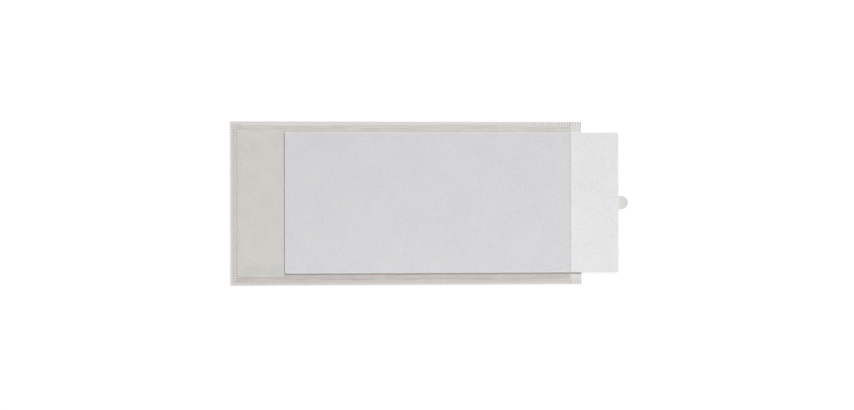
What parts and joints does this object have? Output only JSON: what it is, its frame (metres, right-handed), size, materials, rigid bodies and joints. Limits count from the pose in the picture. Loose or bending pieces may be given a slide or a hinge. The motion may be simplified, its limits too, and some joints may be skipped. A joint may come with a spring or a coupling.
{
  "type": "self-adhesive label holder",
  "caption": "Clear welded film pocket, open at one end, with a slide-in paper label card and an adhesive back under a peel-off release liner.",
  "frame": {"origin": "centre of the pocket's outline, on the underside of the release liner", "axes": "+X along the pocket towards its open end, +Y across the pocket, +Z out of the front film"},
  "size_m": [0.1587, 0.065, 0.001],
  "materials": {
    "front_film": "clear soft vinyl film, glossy, with faint stretch ripples and a ribbed welded edge",
    "back_film": "clear soft vinyl film, satin",
    "adhesive": "clear tacky acrylic coat, faintly mottled",
    "liner_paper": "off-white siliconised paper, smooth satin",
    "card": "uncoated white card, matte, die-cut edges"
  },
  "bodies": {
    "pocket": {"front_film": "front_film", "back_film": "back_film", "adhesive_layer": "adhesive"},
    "card": {"label_card": "card"},
    "liner": {"release_liner": "liner_paper"}
  },
  "joints": [
    {"name": "card_slide", "type": "slide", "parent": "pocket", "child": "card", "axis": [1, 0, 0], "range_m": [-0.018, 0.12]},
    {"name": "liner_peel", "type": "slide", "parent": "pocket", "child": "liner", "axis": [-1, 0, 0], "range_m": [0, 0.145]}
  ]
}
